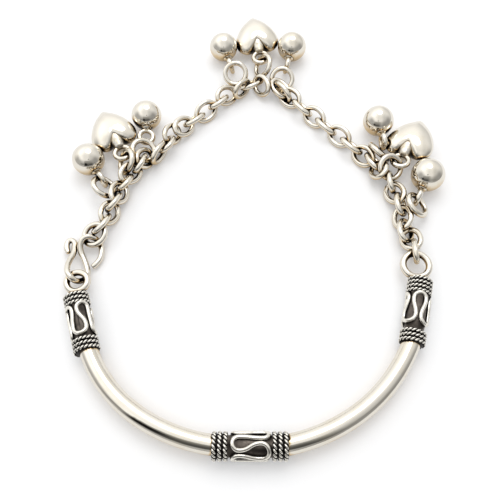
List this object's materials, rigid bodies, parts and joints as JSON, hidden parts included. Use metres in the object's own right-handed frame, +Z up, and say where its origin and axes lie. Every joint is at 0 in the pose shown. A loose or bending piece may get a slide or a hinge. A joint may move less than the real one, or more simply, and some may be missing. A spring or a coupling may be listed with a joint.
{
  "type": "charm bangle",
  "caption": "Half-bar silver bangle with wirework sleeves, closed by a cable chain and an S-hook, with ball and puffed heart charms on jump rings, lying flat and fastened.",
  "frame": {"origin": "middle of the bracelet's plan on the surface that it lies on", "axes": "+Z up, +Y from the front of the bar towards the chain, +X from the hooked end to the other end of the bar"},
  "size_m": [0.07, 0.0928, 0.0062],
  "materials": {
    "silver": "polished silver",
    "oxidised_silver": "polished silver, darkened in the recesses of its wirework"
  },
  "bodies": {
    "root": {"bangle": "oxidised_silver", "s_hook": "silver", "clasp_ring": "silver", "link_01": "silver", "link_02": "silver", "link_03": "silver", "link_04": "silver", "link_05": "silver", "link_06": "silver", "link_07": "silver", "link_08": "silver", "link_09": "silver", "link_10": "silver", "link_11": "silver", "link_12": "silver", "link_13": "silver", "link_14": "silver", "link_15": "silver", "link_16": "silver", "link_17": "silver", "link_18": "silver", "link_19": "silver", "link_20": "silver", "link_21": "silver", "link_22": "silver", "link_23": "silver", "link_24": "silver", "link_25": "silver", "link_26": "silver", "link_27": "silver", "link_28": "silver", "link_29": "silver", "link_30": "silver", "link_31": "silver", "link_32": "silver", "link_33": "silver", "link_34": "silver", "link_35": "silver", "link_36": "silver", "link_37": "silver", "jump_ring_ball_1": "silver", "jump_ring_ball_2": "silver", "jump_ring_ball_3": "silver", "jump_ring_ball_4": "silver", "jump_ring_ball_5": "silver", "jump_ring_ball_6": "silver", "jump_ring_heart_1": "silver", "jump_ring_heart_2": "silver", "jump_ring_heart_3": "silver", "ball_1": "silver", "ball_2": "silver", "ball_3": "silver", "ball_4": "silver", "ball_5": "silver", "ball_6": "silver", "heart_1": "silver", "heart_2": "silver", "heart_3": "silver"}
  },
  "joints": []
}
